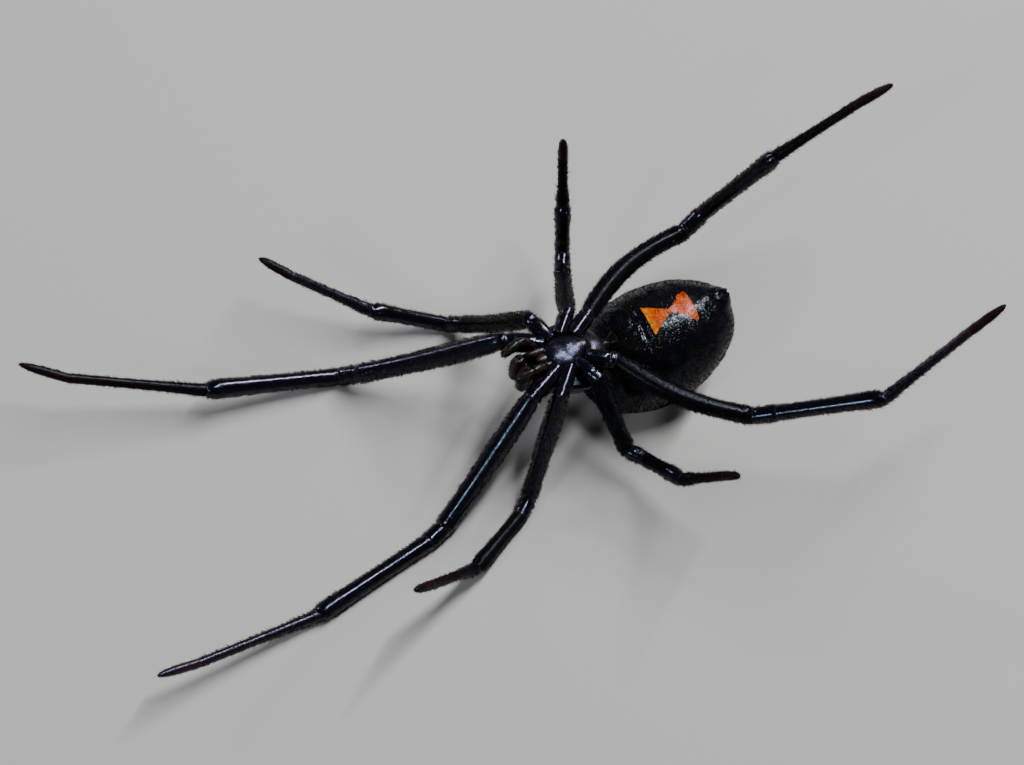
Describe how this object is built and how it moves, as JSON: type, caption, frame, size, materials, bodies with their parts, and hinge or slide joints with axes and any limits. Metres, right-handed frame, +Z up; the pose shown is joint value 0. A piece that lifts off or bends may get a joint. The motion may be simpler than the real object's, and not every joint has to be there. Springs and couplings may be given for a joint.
{
  "type": "black widow spider",
  "caption": "Black widow spider lying on its back, belly up, with long jointed legs spread and an hourglass mark on the abdomen.",
  "frame": {"origin": "on the floor, under the middle of the box round the whole animal", "axes": "+Z up, out of the belly as the spider lies on its back; -Y towards its head; +X towards its right side"},
  "size_m": [0.0224, 0.0456, 0.0162],
  "materials": {
    "shell": "hard glossy black, finely haired",
    "abdomen": "soft glossy black skin with an orange hourglass mark",
    "spinnerets": "satin black",
    "jaws": "dark brown, satin",
    "feet": "dark reddish brown, satin",
    "eyes": "glassy black"
  },
  "bodies": {
    "root": {"cephalothorax": "shell", "waist": "shell", "abdomen": "abdomen", "spinnerets": "spinnerets", "chelicera_left": "jaws", "chelicera_right": "jaws", "fang_left": "jaws", "fang_right": "jaws", "palp_left": "jaws", "palp_right": "jaws", "eye_front_inner_left": "eyes", "eye_front_inner_right": "eyes", "eye_front_outer_left": "eyes", "eye_front_outer_right": "eyes", "eye_rear_inner_left": "eyes", "eye_rear_inner_right": "eyes", "eye_rear_outer_left": "eyes", "eye_rear_outer_right": "eyes", "leg_1_left_coxa": "shell", "leg_1_left_femur": "shell", "leg_1_left_tibia": "shell", "leg_1_left_foot": "feet", "leg_1_right_coxa": "shell", "leg_1_right_femur": "shell", "leg_1_right_tibia": "shell", "leg_1_right_foot": "feet", "leg_2_left_coxa": "shell", "leg_2_left_femur": "shell", "leg_2_left_tibia": "shell", "leg_2_left_foot": "feet", "leg_2_right_coxa": "shell", "leg_2_right_femur": "shell", "leg_2_right_tibia": "shell", "leg_2_right_foot": "feet", "leg_3_left_coxa": "shell", "leg_3_left_femur": "shell", "leg_3_left_tibia": "shell", "leg_3_left_foot": "feet", "leg_3_right_coxa": "shell", "leg_3_right_femur": "shell", "leg_3_right_tibia": "shell", "leg_3_right_foot": "feet", "leg_4_left_coxa": "shell", "leg_4_left_femur": "shell", "leg_4_left_tibia": "shell", "leg_4_left_foot": "feet", "leg_4_right_coxa": "shell", "leg_4_right_femur": "shell", "leg_4_right_tibia": "shell", "leg_4_right_foot": "feet"}
  },
  "joints": []
}
